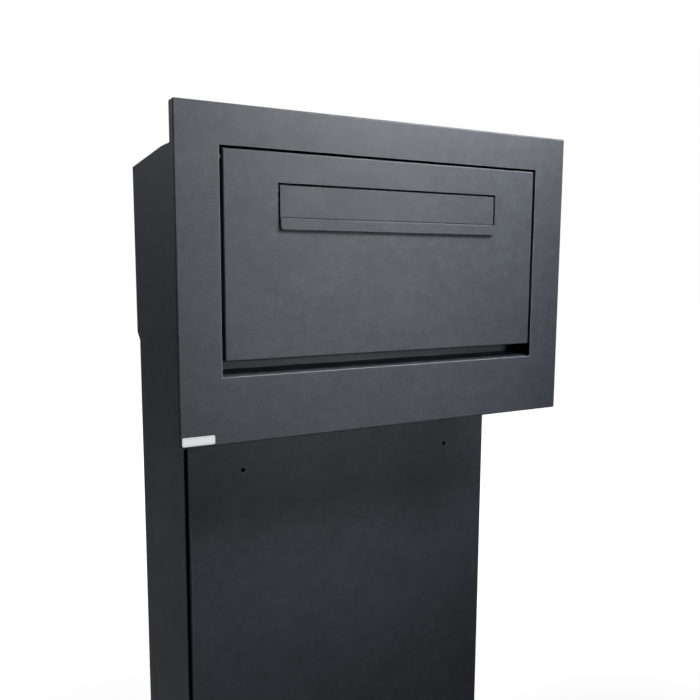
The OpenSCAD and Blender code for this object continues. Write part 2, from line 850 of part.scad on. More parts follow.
module rear_door_skin() {
    h = door_top_z - door_low_z;
    color(paint) difference() {
        translate([0, body_back, door_low_z + h / 2]) rotate([0, 0, 180])
            tray(2 * door_x, h, door_return, sheet, 2, 1);
        bar_y(lock_x, body_back - sheet - 1, body_back + 1, lock_z, lock_r + fixed_gap);
        at_door_screws() bar_y(0, body_back - 5, body_back + 1, 0, screw_hole_r);
    }
}

// Hat channels across the inside of the door
module door_stiffeners() {
    back = body_back - sheet - fixed_gap;
    depth = 12;
    half = door_x - 30;
    color(zinc) for (z = [door_low_z + 190, door_top_z - 190]) translate([0, 0, z]) along_x(2 * half)
        polygon([
            [back, -35], [back, -20 + sheet], [back - depth + sheet, -20 + sheet],
            [back - depth + sheet, 20 - sheet], [back, 20 - sheet], [back, 35],
            [back - sheet, 35], [back - sheet, 20], [back - depth, 20],
            [back - depth, -20], [back - sheet, -20], [back - sheet, -35],
        ]);
}

module door_seal() {
    y0 = frame_front_y + sheet;
    color(black) flat_ring(door_x + 1, door_low_z - 1, door_top_z + 1,
                           door_x + 1 - seal_w, door_low_z - 1 + seal_w, door_top_z + 1 - seal_w,
                           y0, body_back - door_return - moving_gap);
}

// Hinge leaf on one side of the axis, with its knuckles between the given heights
module hinge_leaf(side, own, other) {
    difference() {
        union() {
            block([min(side * leaf_start, side * hinge_leaf_w), body_back - hinge_y, -hinge_h / 2],
                  [max(side * leaf_start, side * hinge_leaf_w), body_back - hinge_y + leaf_t, hinge_h / 2]);
            for (span = own) translate([0, 0, span[0]]) cylinder(h = span[1] - span[0], r = knuckle_r);
        }
        for (span = other) translate([0, 0, span[0]])
            cylinder(h = span[1] - span[0], r = knuckle_r + moving_gap);
        translate([0, 0, -hinge_h]) cylinder(h = 2 * hinge_h, r = hinge_pin_r + running_fit);
    }
}

knuckle_cut = hinge_h / 6;
middle_knuckle = [[-knuckle_cut, knuckle_cut]];
middle_space = [[-knuckle_cut - moving_gap, knuckle_cut + moving_gap]];
end_knuckles = [[-hinge_h / 2, -knuckle_cut - moving_gap], [knuckle_cut + moving_gap, hinge_h / 2]];
end_spaces = [[-hinge_h / 2 - 1, -knuckle_cut], [knuckle_cut, hinge_h / 2 + 1]];

module at_hinges() {
    for (z = hinge_heights) translate([hinge_x, hinge_y, z]) children();
}

// Places of the hinge screws, at y = 0, on the frame side and on the door side
module at_frame_screws() {
    for (z = hinge_heights) for (dz = [-25, 0, 25]) translate([hinge_x - screw_x, 0, z + dz]) children();
}

module at_door_screws() {
    for (z = hinge_heights) for (dz = [-25, 0, 25]) translate([hinge_x + screw_x, 0, z + dz]) children();
}

module hinge_leaves_frame() {
    color(zinc) difference() {
        at_hinges() hinge_leaf(-1, end_knuckles, middle_space);
        at_frame_screws() bar_y(0, body_back - 1, body_back + leaf_t + 1, 0, screw_hole_r);
    }
}

module hinge_leaves_door() {
    color(zinc) difference() {
        at_hinges() hinge_leaf(1, middle_knuckle, end_spaces);
        at_door_screws() bar_y(0, body_back - 1, body_back + leaf_t + 1, 0, screw_hole_r);
    }
}

module hinge_pins() {
    color(steel) at_hinges() {
        translate([0, 0, -hinge_h / 2 - 1]) cylinder(h = hinge_h + 1 + moving_gap, r = hinge_pin_r);
        translate([0, 0, hinge_h / 2 + moving_gap]) cylinder(h = 2, r = knuckle_r - 0.5);
    }
}

module screw() {
    bar_y(0, body_back - 4, body_back + leaf_t, 0, screw_r);
    bar_y(0, body_back + leaf_t, body_back + leaf_t + screw_head_h, 0, screw_head_r);
}

module hinge_screws_frame() {
    color(zinc) at_frame_screws() screw();
}

module hinge_screws_door() {
    color(zinc) at_door_screws() screw();
}

// ---- lock ----

module lock_barrel() {
    color(zinc) difference() {
        union() {
            bar_y(lock_x, barrel_front_y, body_back, lock_z, lock_r);
            bar_y(lock_x, body_back, body_back + 3, lock_z, lock_r + 2);
        }
        bar_y(lock_x, barrel_front_y - 1, body_back + 4, lock_z, plug_r + running_fit);
    }
}

module lock_nut() {
    back = body_back - sheet;
    color(zinc) difference() {
        translate([lock_x, back, lock_z]) rotate([90, 0, 0]) cylinder(h = 4, r = lock_r + 4, $fn = 6);
        bar_y(lock_x, back - 5, back + 1, lock_z, lock_r + fixed_gap / 2);
    }
}

module lock_plug() {
    color(steel) difference() {
        union() {
            bar_y(lock_x, cam_back_y, body_back + 2.6, lock_z, plug_r);
            block([lock_x - 4, cam_front_y, lock_z - 4], [lock_x + 4, cam_back_y, lock_z + 4]);
        }
        block([lock_x - keyway_w / 2, body_back - 18, lock_z - keyway_h / 2],
              [lock_x + keyway_w / 2, body_back + 4, lock_z + keyway_h / 2]);
        bar_y(lock_x, cam_front_y - 1, cam_back_y + 6, lock_z, 1.5);
    }
}

// Cam, drawn in the open place with its tip down
module lock_cam() {
    color(zinc) difference() {
        union() {
            bar_y(lock_x, cam_front_y, cam_back_y, lock_z, cam_w / 2);
            block([lock_x - cam_w / 2, cam_front_y, lock_z - cam_reach],
                  [lock_x + cam_w / 2, cam_back_y, lock_z]);
        }
        block([lock_x - 4 - fixed_gap, cam_front_y - 1, lock_z - 4 - fixed_gap],
              [lock_x + 4 + fixed_gap, cam_back_y + 1, lock_z + 4 + fixed_gap]);
    }
}

module cam_screw() {
    color(zinc) {
        bar_y(lock_x, cam_front_y - 1, cam_front_y, lock_z, 6.5);
        bar_y(lock_x, cam_front_y - 3.5, cam_front_y - 1, lock_z, 3);
        bar_y(lock_x, cam_front_y, cam_back_y + 5, lock_z, 1.5);
    }
}

module door_key() {
    bow_y = body_back + 3.5;
    half = keyway_w / 2 - fixed_gap;
    color(steel) {
        block([lock_x - half, body_back - 16, lock_z - keyway_h / 2 + fixed_gap],
              [lock_x + half, bow_y + 9, lock_z + keyway_h / 2 - fixed_gap]);
        difference() {
            translate([lock_x - half, bow_y + 14, lock_z]) rotate([0, 90, 0])
                cylinder(h = 2 * half, r = 10.5);
            bar_x(lock_x - 3, lock_x + 3, bow_y + 17, lock_z, 3.2);
            block([lock_x - 3, body_back - 10, lock_z - 20], [lock_x + 3, bow_y + 4, lock_z + 20]);
        }
    }
}

front_plate();
frame_studs();
frame_nuts();
blank_label();
side_panel_left();
side_panel_right();
roof_panel();
head_back_panel();
finger_sill();
chute_plate();
body_front_panel();
base_tray();
rear_frame();
stop_rail_left();
stop_rail_right();
flap_buffers();
pivot_bracket_left();
pivot_bracket_right();
flap_bushes();
parcel_flap_skin();
parcel_flap_liner();
letter_slot_collar();
letter_deflector();
flap_hinge_rod();
flap_rod_clips();
liner_rivets();
letter_hinge_rod();
letter_rod_caps();
letter_springs();
letter_flap_plate();
letter_grip_strip();
grip_buffers();
retention_bracket_left();
retention_bracket_right();
retention_rod();
retention_rod_clips();
retention_stops();
retention_flap_plate();
retention_edge_trim();
rear_door_skin();
door_stiffeners();
door_seal();
hinge_leaves_frame();
hinge_leaves_door();
hinge_pins();
hinge_screws_frame();
hinge_screws_door();
lock_barrel();
lock_nut();
lock_plug();
lock_cam();
cam_screw();
door_key();
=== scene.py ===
# A through-wall parcel drop box in fine-structure powder coat: front plate with a parcel flap
# and a letter flap, throat and head behind it, and a tall body with a locked rear door.
# Everything is in metres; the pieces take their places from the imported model.

import math

import bmesh
import bpy
from mathutils import Matrix, Vector


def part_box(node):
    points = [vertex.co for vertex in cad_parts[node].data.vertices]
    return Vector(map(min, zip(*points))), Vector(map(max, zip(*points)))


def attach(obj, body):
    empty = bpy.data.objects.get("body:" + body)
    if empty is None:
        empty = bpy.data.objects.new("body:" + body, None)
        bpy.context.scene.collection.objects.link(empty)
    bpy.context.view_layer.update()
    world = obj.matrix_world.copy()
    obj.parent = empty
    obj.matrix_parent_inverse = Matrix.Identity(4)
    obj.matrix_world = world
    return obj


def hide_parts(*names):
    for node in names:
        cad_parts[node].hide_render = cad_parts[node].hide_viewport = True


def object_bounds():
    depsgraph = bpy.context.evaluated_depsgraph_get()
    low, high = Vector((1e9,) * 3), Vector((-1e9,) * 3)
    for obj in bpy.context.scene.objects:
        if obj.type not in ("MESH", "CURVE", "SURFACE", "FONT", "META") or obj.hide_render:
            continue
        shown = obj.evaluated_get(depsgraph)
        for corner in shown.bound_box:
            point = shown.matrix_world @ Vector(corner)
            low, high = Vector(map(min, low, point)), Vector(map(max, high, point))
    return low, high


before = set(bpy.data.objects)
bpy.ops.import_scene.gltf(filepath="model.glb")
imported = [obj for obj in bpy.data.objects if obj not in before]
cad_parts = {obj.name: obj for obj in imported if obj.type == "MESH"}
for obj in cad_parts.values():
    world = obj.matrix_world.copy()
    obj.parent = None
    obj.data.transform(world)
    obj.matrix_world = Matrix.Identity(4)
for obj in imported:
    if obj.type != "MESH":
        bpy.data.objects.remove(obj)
cad_low, cad_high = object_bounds()


# ---- viewpoint ----
# The box is seen from the street, a little above its middle and from its left.
# The camera looks slightly down, so the sides of the tall body lean together.

yaw, pitch, roll = math.radians(28.81), math.radians(7.22), math.radians(0.29)
forward = Vector((math.sin(yaw) * math.cos(pitch), math.cos(yaw) * math.cos(pitch), -math.sin(pitch)))
level = Vector((math.cos(yaw), -math.sin(yaw), 0))
upright = level.cross(forward)
across = level * math.cos(roll) + upright * math.sin(roll)
up = upright * math.cos(roll) - level * math.sin(roll)

camera = bpy.data.objects.new("camera", bpy.data.cameras.new("camera"))
camera.matrix_world = Matrix((
    (across.x, up.x, -forward.x, -0.55146),
    (across.y, up.y, -forward.y, -1.11836),
    (across.z, up.z, -forward.z, 0.91563),
    (0, 0, 0, 1),
))
camera.data.sensor_width = 36
camera.data.lens = 39.11
camera.data.shift_x = 0.0005
camera.data.shift_y = 0.0114
bpy.context.scene.collection.objects.link(camera)
bpy.context.scene.camera = camera


# ---- front plate ----
# 2 mm sheet steel with four folded returns and a cut opening, powder coated anthracite.
# The coat has a fine dry grain and faint clouds from the spray; its edges are lighter, partly a thin worn
# coat and partly a painted highlight.

class Value:
    """One socket of a node tree. Sums and products of values add Math nodes."""

    def __init__(self, board, socket):
        self.board = board
        self.socket = socket

    def also(self, output):
        """Another output of the same node."""
        return Value(self.board, self.socket.node.outputs[output])

    def work(self, operation, first, second):
        return self.board.add("ShaderNodeMath", {"operation": operation}, {0: first, 1: second})

    def __add__(self, other):
        return self.work("ADD", self, other)

    def __sub__(self, other):
        return self.work("SUBTRACT", self, other)

    def __rsub__(self, other):
        return self.work("SUBTRACT", other, self)

    def __mul__(self, other):
        return self.work("MULTIPLY", self, other)

    def __gt__(self, other):
        return self.work("GREATER_THAN", self, other)

    def __lt__(self, other):
        return self.work("LESS_THAN", self, other)

    __radd__ = __add__
    __rmul__ = __mul__


class Board:
    """A node tree being put together."""

    def __init__(self, tree):
        self.tree = tree

    def add(self, kind, settings=None, inputs=None, output=0):
        """Adds a node, sets it up, fills or links its inputs and returns one of its outputs."""
        node = self.tree.nodes.new(kind)
        for name, setting in (settings or {}).items():
            setattr(node, name, setting)
        for name, given in (inputs or {}).items():
            for value in given if isinstance(given, list) else [given]:
                if isinstance(value, Value):
                    self.tree.links.new(value.socket, node.inputs[name])
                else:
                    node.inputs[name].default_value = value
        return Value(self, node.outputs[output]) if node.outputs else None


class Finish(Board):
    """A surface finish: a material whose pattern follows the piece's own coordinates."""

    def __init__(self, name):
        self.material = bpy.data.materials.new(name)
        self.material.use_nodes = True
        self.material.node_tree.nodes.clear()
        super().__init__(self.material.node_tree)
        self.place = self.add("ShaderNodeTexCoord", output="Object")
        self.edge = self.add("ShaderNodeAttribute", {"attribute_name": "edge_wear_and_highlight"}, output="Fac")

    def stretched(self, x, y, z):
        """The place, drawn out along one axis for brushed or drawn metal."""
        return self.add("ShaderNodeMapping", inputs={"Vector": self.place, "Scale": (x, y, z)})

    def noise(self, scale, detail=2, roughness=0.5, place=None):
        return self.add("ShaderNodeTexNoise", inputs={
            "Vector": place or self.place, "Scale": scale, "Detail": detail, "Roughness": roughness,
        })

    def mix(self, share, first, second):
        """Blends two colours."""
        return self.add("ShaderNodeMix", {"data_type": "RGBA", "clamp_factor": True},
                        {0: share, 6: first, 7: second}, output=2)

    def bump(self, height, strength, distance, under=None):
        inputs = {"Height": height, "Strength": strength, "Distance": distance}
        if under:
            inputs["Normal"] = under
        return self.add("ShaderNodeBump", inputs=inputs)

    def surface(self, colour, roughness, normal, **fixed):
        """Closes the material with the shader and its output."""
        inputs = {"Base Color": colour, "Roughness": roughness, "Normal": normal}
        inputs.update({name.replace("_", " "): value for name, value in fixed.items()})
        shader = self.add("ShaderNodeBsdfPrincipled", inputs=inputs)
        self.add("ShaderNodeOutputMaterial", inputs={"Surface": shader})
        return self.material


def powder_coat(name, dark, light, worn_and_highlight):
    """Fine-structure polyester powder, sprayed and baked."""
    finish = Finish(name)
    clouds = finish.noise(14, 3, 0.55)
    patches = finish.noise(70, 2, 0.5)
    grain = finish.noise(420, 3, 0.65)
    tone = 0.5 + 0.7 * (clouds - 0.5) + 0.9 * (patches - 0.5) + 1.5 * (grain - 0.5)
    colour = finish.mix(tone, dark, light)
    # Rounded edges are mixed toward the light grey: a thin worn coat there, and partly a painted highlight.
    thin_coat_and_highlight = finish.edge * (0.5 + 0.4 * finish.noise(240, 2))
    colour = finish.mix(thin_coat_and_highlight, colour, worn_and_highlight)
    roughness = 0.5 + 0.1 * grain - 0.05 * clouds - 0.1 * finish.edge
    waves = finish.bump(clouds, 0.25, 0.0012)
    peel = finish.bump(patches, 0.12, 0.0006, waves)
    dry = finish.bump(grain, 0.32, 0.00022, peel)
    return finish.surface(colour, roughness, dry, Specular_IOR_Level=0.5)


def broken_edges(node, radius=0.0003):
    """A new piece with a CAD node's shape, its sharp edges rounded and marked for wear and a painted
    highlight.
    """
    shape = bmesh.new()
    shape.from_mesh(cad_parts[node].data)
    bmesh.ops.remove_doubles(shape, verts=shape.verts, dist=1e-6)
    bmesh.ops.dissolve_limit(shape, angle_limit=math.radians(0.6), verts=shape.verts, edges=shape.edges)
    wear_highlight_layer = shape.faces.layers.float.new("edge_wear_and_highlight")
    sharp = [e for e in shape.edges if len(e.link_faces) == 2 and e.calc_face_angle(0) > math.radians(33)]
    rounded = bmesh.ops.bevel(shape, geom=sharp, offset=radius, segments=3, profile=0.5,
                              affect="EDGES", clamp_overlap=True)
    # Rounded faces are marked; the coat lightens them as a worn edge and as a painted highlight.
    for face in rounded["faces"]:
        face[wear_highlight_layer] = 1
    for face in shape.faces:
        face.smooth = True
    mesh = bpy.data.meshes.new(node + "_finished")
    shape.to_mesh(mesh)
    shape.free()
    piece = bpy.data.objects.new(mesh.name, mesh)
    bpy.context.scene.collection.objects.link(piece)
    flat = piece.modifiers.new("Flat faces", "WEIGHTED_NORMAL")
    flat.mode, flat.weight, flat.keep_sharp = "FACE_AREA", 100, False
    return plain(piece)


def plain(piece):
    """The piece with its modifiers worked into its mesh."""
    graph = bpy.context.evaluated_depsgraph_get()
    mesh = bpy.data.meshes.new_from_object(piece.evaluated_get(graph))
    piece.modifiers.clear()
    piece.data = mesh
    return piece


def fit(piece, body, slot, material, *nodes):
    """Gives the piece its finish and lets it stand for CAD nodes on a body."""
    piece.data.materials.clear()
    piece.data.materials.append(material)
    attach(piece, body)
    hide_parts(*nodes)
    return piece


# The last colour is the edges' light grey: thin worn coat, brightened as a painted highlight.
anthracite = powder_coat("anthracite_powder_coat", (0.025, 0.030, 0.038, 1), (0.053, 0.061, 0.075, 1),
                         (0.26, 0.27, 0.29, 1))
fit(broken_edges("front_plate", 0.0009), "housing", "anthracite_powder", anthracite, "front_plate")


# ---- blank label ----
# A small self-adhesive film label in the plate's lower left corner, left blank.
# Only a thin grey border is printed on it.

label_low, label_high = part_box("blank_label")
label_mid = (label_low + label_high) / 2
label_half = (label_high - label_low) / 2
film = Finish("label_film")
spot = film.add("ShaderNodeSeparateXYZ", inputs={"Vector": film.place})
from_side = label_half.x - film.add("ShaderNodeMath", {"operation": "ABSOLUTE"}, {0: spot - label_mid.x})
from_end = label_half.z - film.add("ShaderNodeMath", {"operation": "ABSOLUTE"},
                                   {0: spot.also("Z") - label_mid.z})
inwards = film.add("ShaderNodeMath", {"operation": "MINIMUM"}, {0: from_side, 1: from_end})
border = (inwards > 0.0012) * (inwards < 0.0019)
fibres = film.noise(1400, 2)
paper = film.mix(fibres, (0.86, 0.87, 0.88, 1), (0.96, 0.96, 0.97, 1))
film.surface(film.mix(border * 0.4, paper, (0.25, 0.29, 0.33, 1)), 0.35 + 0.15 * fibres,
             film.bump(fibres, 0.15, 0.00005))
fit(broken_edges("blank_label", 0.00008), "housing", "label_white", film.material, "blank_label")


# ---- parcel flap ----
# A folded tray of 1.5 mm sheet, hung in the opening on a steel rod near its top edge.
# A zinc-plated sheet closes its back, and a folded frame lines the letter slot.

fit(broken_edges("parcel_flap_skin", 0.0005), "parcel_flap", "anthracite_powder", anthracite,
    "parcel_flap_skin")
fit(broken_edges("letter_deflector", 0.0002), "parcel_flap", "anthracite_powder", anthracite,
    "letter_deflector")


def bright_zinc(name):
    """Zinc-plated sheet: dull silver with faint crystal patches and rolling lines."""
    finish = Finish(name)
    crystals = finish.add("ShaderNodeTexVoronoi", inputs={"Vector": finish.place, "Scale": 160},
                          output="Distance")
    clouds = finish.noise(35, 3)
    rolled = finish.noise(1, 2, 0.6, finish.stretched(40, 1600, 1600))
    colour = finish.mix(clouds * 0.6 + crystals * 0.4, (0.40, 0.41, 0.42, 1), (0.60, 0.61, 0.62, 1))
    colour = finish.mix(finish.edge * 0.6, colour, (0.72, 0.72, 0.73, 1))
    roughness = 0.34 + 0.16 * clouds + 0.08 * rolled - 0.08 * finish.edge
    normal = finish.bump(rolled, 0.12, 0.00005, finish.bump(crystals, 0.1, 0.0001))
    return finish.surface(colour, roughness, normal, Metallic=0.95)


zinc = bright_zinc("zinc_plating")
for node in ("parcel_flap_liner", "letter_slot_collar"):
    fit(broken_edges(node, 0.0002), "parcel_flap", "zinc_plated", zinc, node)


# ---- rivets of the flap's inner sheet ----
# Six blind rivets with low domed heads hold the inner sheet to the slot's frame.
# Each head is pressed, so it is one smooth dome with a small dimple.

def separate_parts(node):
    """Lowest and highest corner of each loose part of a CAD node."""
    shape = bmesh.new()
    shape.from_mesh(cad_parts[node].data)
    bmesh.ops.remove_doubles(shape, verts=shape.verts, dist=1e-6)
    left = set(shape.verts)
    parts = []
    while left:
        waiting = [left.pop()]
        corners = []
        while waiting:
            vertex = waiting.pop()
            corners.append(vertex.co.copy())
            for edge in vertex.link_edges:
                other = edge.other_vert(vertex)
                if other in left:
                    left.remove(other)
                    waiting.append(other)
        parts.append((Vector(map(min, *corners)), Vector(map(max, *corners))))
    shape.free()
    return sorted(parts, key=lambda part: tuple(part[0]))


class Pattern(Board):
    """A Geometry Nodes tree that puts the same small part at each place, with named sizes."""

    def __init__(self, name, **sizes):
        super().__init__(bpy.data.node_groups.new(name, "GeometryNodeTree"))
        face = self.tree.interface
        face.new_socket("Places", in_out="INPUT", socket_type="NodeSocketGeometry")
        for label, value in sizes.items():
            face.new_socket(label, in_out="INPUT", socket_type="NodeSocketFloat").default_value = value
        face.new_socket("Parts", in_out="OUTPUT", socket_type="NodeSocketGeometry")
        self.given = self.tree.nodes.new("NodeGroupInput")

    def size(self, name):
        return Value(self, self.given.outputs[name])

    def vector(self, x, y, z):
        return self.add("ShaderNodeCombineXYZ", inputs={0: x, 1: y, 2: z})

    def disc(self, radius, height, sides, steps):
        """A round head standing on its underside, closed by steps of (rise, taper)."""
        part = self.add("GeometryNodeMeshCylinder", {"fill_type": "NGON"},
                        {"Vertices": sides, "Radius": radius, "Depth": height * 0.5})
        top = part.also("Top")
        for rise, taper in steps:
            part = self.add("GeometryNodeExtrudeMesh", {"mode": "FACES"}, {
                "Mesh": part, "Selection": top, "Offset Scale": height * rise, "Individual": False,
            })
            top = part.also("Top")
            part = self.add("GeometryNodeScaleElements", {"domain": "FACE"},
                            {"Geometry": part, "Selection": top, "Scale": taper})
        return self.add("GeometryNodeTransform",
                        inputs={"Geometry": part, "Translation": self.vector(0, 0, height * 0.25)})

    def smooth(self, part, angle=0.6):
        """Smooth shading, except over edges sharper than the angle."""
        soft = self.add("GeometryNodeInputMeshEdgeAngle") < angle
        return self.add("GeometryNodeSetShadeSmooth", {"domain": "EDGE"},
                        {0: part, "Shade Smooth": soft})

    def finish(self, part, material, turn=(0, 0, 0), spin=None):
        """Puts the part at each place, turned, and closes the tree."""
        way_in = Value(self, self.given.outputs["Places"])
        parts = self.add("GeometryNodeInstanceOnPoints",
                         inputs={"Points": way_in, "Instance": part, "Rotation": turn})
        if spin is not None:
            parts = self.add("GeometryNodeRotateInstances", inputs={
                "Instances": parts, "Rotation": self.vector(0, 0, spin), "Local Space": True,
            })
        parts = self.add("GeometryNodeRealizeInstances", inputs={0: parts})
        parts = self.add("GeometryNodeSetMaterial", inputs={"Geometry": parts, "Material": material})
        self.add("NodeGroupOutput", inputs={"Parts": parts})
        return self


def made_from(pattern, name, places, **sizes):
    """The parts that a pattern makes at these places, as one plain mesh."""
    mesh = bpy.data.meshes.new(name)
    mesh.from_pydata(places, [], [])
    piece = bpy.data.objects.new(name, mesh)
    bpy.context.scene.collection.objects.link(piece)
    step = piece.modifiers.new("Pattern", "NODES")
    step.node_group = pattern.tree
    for item in pattern.tree.interface.items_tree:
        if item.in_out == "INPUT" and item.name in sizes:
            step[item.identifier] = sizes[item.name]
    return plain(piece)


rivet_sizes = {"Radius": 0.003, "Height": 0.001}
rivets = Pattern("Domed rivets", **rivet_sizes)
dome = rivets.disc(rivets.size("Radius"), rivets.size("Height"), 28,
                   [(0.22, 0.9), (0.16, 0.8), (0.09, 0.66), (0.03, 0.42), (-0.12, 0.8)])
rivets.finish(rivets.smooth(dome), zinc, turn=(-math.pi / 2, 0, 0))
rivet_places = [((low.x + high.x) / 2, high.y - rivet_sizes["Height"], (low.z + high.z) / 2)
                for low, high in separate_parts("liner_rivets")]
fit(made_from(rivets, "liner_rivet_heads", rivet_places, **rivet_sizes),
    "parcel_flap", "zinc_plated", zinc, "liner_rivets")


# ---- letter flap and grip strip ----
# A narrow plate hung in the slot with a tab at each end for the hinge rod.
# The folded strip under it stands out from the flap, so fingers can lift it.

fit(broken_edges("letter_flap_plate", 0.0006), "letter_flap", "anthracite_powder", anthracite,
    "letter_flap_plate")
fit(broken_edges("letter_grip_strip", 0.0006), "letter_flap", "anthracite_powder", anthracite,
    "letter_grip_strip")


def moulded_rubber(name):
    """Black rubber: matt, slightly dusty, with a fine moulded grain."""
    finish = Finish(name)
    dust = finish.noise(90, 3)
    grain = finish.noise(1500, 2)
    colour = finish.mix(dust * 0.7 + finish.edge * 0.25, (0.010, 0.010, 0.011, 1), (0.030, 0.030, 0.031, 1))
    return finish.surface(colour, 0.62 + 0.2 * dust, finish.bump(grain, 0.3, 0.0001))


rubber = moulded_rubber("black_rubber")
fit(broken_edges("grip_buffers", 0.0005), "letter_flap", "black_rubber", rubber, "grip_buffers")


# ---- rods, caps and clips ----
# Drawn steel rods carry the flaps. Push-on caps and spring clips hold them endways.
# Drawing leaves fine lines along the rod.

def drawn_steel(name, lines):
    """Bright steel with fine lines along one axis."""
    finish = Finish(name)
    streaks = finish.noise(1, 3, 0.6, finish.stretched(*lines))
    stains = finish.noise(60, 3)
    colour = finish.mix(stains, (0.36, 0.35, 0.34, 1), (0.58, 0.58, 0.57, 1))
    colour = finish.mix(finish.edge * 0.5, colour, (0.70, 0.70, 0.69, 1))
    roughness = 0.24 + 0.14 * stains + 0.1 * streaks
    return finish.surface(colour, roughness, finish.bump(streaks, 0.2, 0.00004), Metallic=1.0)


rod_steel = drawn_steel("drawn_steel_rods", (30, 3000, 3000))
for node, body in (("flap_hinge_rod", "parcel_flap"), ("flap_rod_clips", "parcel_flap"),
                   ("letter_hinge_rod", "parcel_flap"), ("letter_rod_caps", "parcel_flap")):
    fit(broken_edges(node, 0.0003), body, "rod_steel", rod_steel, node)


# ---- torsion springs of the letter flap ----
# Two coils of 0.8 mm spring wire on the letter hinge rod close the letter flap.
# One leg bears on the flap and the other on the slot's frame.

wire_radius, coil_radius = 0.0004, 0.0027
spring_sizes = {"Wire": wire_radius, "Coil": coil_radius, "Turns": 7.25, "Leg": 0.0095, "Reach": 0.006}
springs = Pattern("Torsion springs", **spring_sizes)
coil = springs.size("Coil")
length = springs.size("Turns") * springs.size("Wire") * 2
winding = springs.add("GeometryNodeCurveSpiral", inputs={
    "Resolution": 26, "Rotations": springs.size("Turns"), "Start Radius": coil, "End Radius": coil,
    "Height": length, "Reverse": False,
})
winding = springs.add("GeometryNodeTransform", inputs={"Geometry": winding, "Rotation": (0, 0, math.pi)})
back_leg = springs.add("GeometryNodeCurvePrimitiveLine", {"mode": "POINTS"}, {
    "Start": springs.vector(-1 * coil, 0, 0), "End": springs.vector(-1 * coil, springs.size("Reach"), 0),
})
down_leg = springs.add("GeometryNodeCurvePrimitiveLine", {"mode": "POINTS"}, {
    "Start": springs.vector(0, -1 * coil, length),
    "End": springs.vector(springs.size("Leg"), -1 * coil, length),
})
path = springs.add("GeometryNodeJoinGeometry", inputs={"Geometry": [winding, down_leg, back_leg]})
section = springs.add("GeometryNodeCurvePrimitiveCircle", {"mode": "RADIUS"},
                      {"Resolution": 10, "Radius": springs.size("Wire")})
spring = springs.add("GeometryNodeCurveToMesh",
                     inputs={"Curve": path, "Profile Curve": section, "Fill Caps": True})
springs.finish(springs.smooth(spring, 0.9), rod_steel, turn=(0, math.pi / 2, 0))
outer_radius = coil_radius + wire_radius
spring_places = [(low.x + wire_radius, low.y + outer_radius, high.z - outer_radius)
                 for low, high in separate_parts("letter_springs")]
fit(made_from(springs, "letter_spring_coils", spring_places, **spring_sizes),
    "parcel_flap", "rod_steel", rod_steel, "letter_springs")


# ---- head, throat and body ----
# The side panels are single sheets from the roof to the floor, spot welded to the roof,
# the rear wall and the front panel, and coated with them inside and out.

for node in ("side_panel_left", "side_panel_right", "roof_panel", "head_back_panel", "finger_sill",
             "chute_plate", "body_front_panel", "base_tray", "rear_frame"):
    fit(broken_edges(node, 0.0003), "housing", "anthracite_powder", anthracite, node)


# ---- rails and brackets behind the plate ----
# Folded rails stand beside the opening, and brackets coated like them carry the flap's rod
# in black nylon bushes.

for node in ("stop_rail_left", "stop_rail_right", "pivot_bracket_left", "pivot_bracket_right"):
    fit(broken_edges(node, 0.0002), "housing", "anthracite_powder", anthracite, node)


def turned_nylon(name):
    """Black nylon with fine turning marks."""
    finish = Finish(name)
    marks = finish.noise(1, 2, 0.6, finish.stretched(4000, 60, 60))
    clouds = finish.noise(120, 2)
    colour = finish.mix(clouds, (0.012, 0.012, 0.013, 1), (0.030, 0.030, 0.032, 1))
    return finish.surface(colour, 0.36 + 0.14 * clouds, finish.bump(marks, 0.12, 0.00005))


nylon = turned_nylon("black_nylon")
fit(broken_edges("flap_bushes", 0.0003), "housing", "black_nylon", nylon, "flap_bushes")


# ---- rubber buffers of the parcel flap ----
# Four push-in buffers on the rails stop the flap quietly. Each has a domed front
# and a thin lip behind the rail.

dome_sizes = {"Radius": 0.004, "Height": 0.0036}
lip_sizes = {"Radius": 0.003, "Height": 0.002}
domes = Pattern("Domed buffers", **dome_sizes)
dome = domes.disc(domes.size("Radius"), domes.size("Height"), 32,
                  [(0.2, 0.94), (0.14, 0.88), (0.1, 0.78), (0.06, 0.6)])
domes.finish(domes.smooth(dome, 0.8), rubber, turn=(math.pi / 2, 0, 0))
fronts, backs = [], []
for low, high in separate_parts("flap_buffers"):
    middle_x, middle_z = (low.x + high.x) / 2, (low.z + high.z) / 2
    fronts.append((middle_x, low.y + dome_sizes["Height"], middle_z))
    backs.append((middle_x, high.y, middle_z))
fit(made_from(domes, "flap_buffer_domes", fronts, **dome_sizes), "housing", "black_rubber", rubber)
fit(made_from(domes, "flap_buffer_lips", backs, **lip_sizes), "housing", "black_rubber", rubber,
    "flap_buffers")


# ---- studs and nuts behind the plate ----
# M5 studs are welded to the plate's back, and hexagon nuts hold the head's flanges on them.
# The thread is a real helix, so its flanks catch the light.

stud_sizes = {"Radius": 0.0025, "Length": 0.01, "Pitch": 0.0008}
studs = Pattern("Threaded studs", **stud_sizes)
pitch_size = studs.size("Pitch")
threaded = studs.size("Length") - 0.001
turns = studs.add("ShaderNodeMath", {"operation": "DIVIDE"}, {0: threaded, 1: pitch_size})
core_radius = studs.size("Radius") - pitch_size * 0.55
helix = studs.add("GeometryNodeCurveSpiral", inputs={
    "Resolution": 20, "Rotations": turns, "Start Radius": core_radius, "End Radius": core_radius,
    "Height": threaded, "Reverse": False,
})
ridge = studs.add("GeometryNodeCurvePrimitiveCircle", {"mode": "RADIUS"},
                  {"Resolution": 4, "Radius": pitch_size * 0.54})
thread = studs.add("GeometryNodeCurveToMesh",
                   inputs={"Curve": helix, "Profile Curve": ridge, "Fill Caps": True})
core = studs.disc(core_radius, studs.size("Length"), 24, [(0.46, 1.0), (0.04, 0.8)])
stud = studs.add("GeometryNodeJoinGeometry", inputs={"Geometry": [thread, core]})
